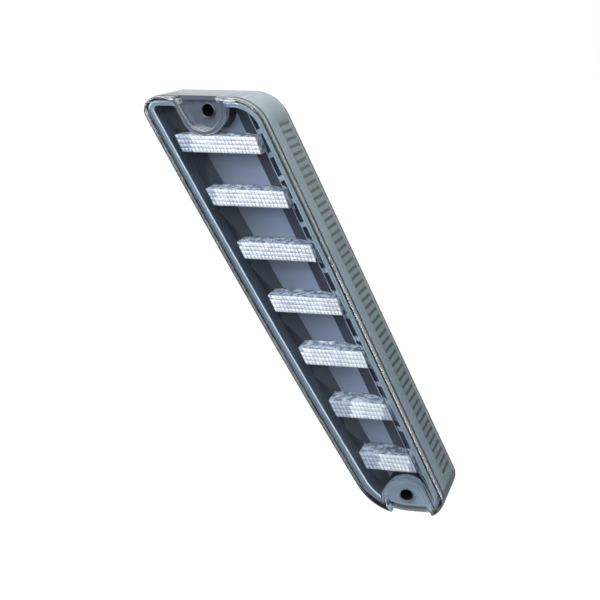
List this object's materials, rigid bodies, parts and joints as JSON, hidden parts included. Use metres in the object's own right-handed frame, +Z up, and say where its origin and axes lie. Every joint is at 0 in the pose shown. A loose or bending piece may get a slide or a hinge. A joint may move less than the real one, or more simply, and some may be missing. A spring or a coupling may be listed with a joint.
{
  "type": "third brake light",
  "caption": "Slanted, tapering sealed lamp with a clear cover over stacked light bars; warns following drivers when the vehicle brakes.",
  "frame": {"origin": "on the rear mounting face, midway between the two screw holes", "axes": "+X to the right along the light bars as seen from the front of the lens, +Y into the vehicle body, so the lens looks along -Y, +Z up"},
  "size_m": [0.1399, 0.056, 0.1885],
  "materials": {
    "clear_cover": "clear, polished",
    "seal": "matte",
    "mask": "satin grey",
    "light_guide": "pillowed, silvery white",
    "band": "ribbed, satin",
    "retainer": "matte white",
    "board": "solder resist",
    "led_package": "gloss",
    "black_component": "matte",
    "capacitor_can": "satin",
    "header": "matte",
    "wire": "satin",
    "screw": "zinc plated",
    "housing": "fine texture",
    "bushing": "turned",
    "gasket": "closed-cell foam",
    "connector": "satin",
    "inlet_seal": "silicone",
    "blade": "tin plated",
    "vent": "satin",
    "membrane": "woven"
  },
  "bodies": {
    "root": {"outer_lens": "clear_cover", "lens_seal": "seal", "inner_bezel": "mask", "light_bar_1": "light_guide", "light_bar_2": "light_guide", "light_bar_3": "light_guide", "light_bar_4": "light_guide", "light_bar_5": "light_guide", "light_bar_6": "light_guide", "light_bar_7": "light_guide", "side_reflector": "band", "bar_retainer": "retainer", "led_board": "board", "leds": "led_package", "resistors": "black_component", "driver_chips": "black_component", "capacitors": "capacitor_can", "protection_diode": "black_component", "board_header": "header", "lead_wires": "wire", "board_screws": "screw", "housing_screws": "screw", "rear_housing": "housing", "upper_bushing": "bushing", "lower_bushing": "bushing", "rear_gasket": "gasket", "connector_socket": "connector", "connector_seal": "inlet_seal", "terminal_pins": "blade", "vent_cap": "vent", "vent_membrane": "membrane"}
  },
  "joints": []
}
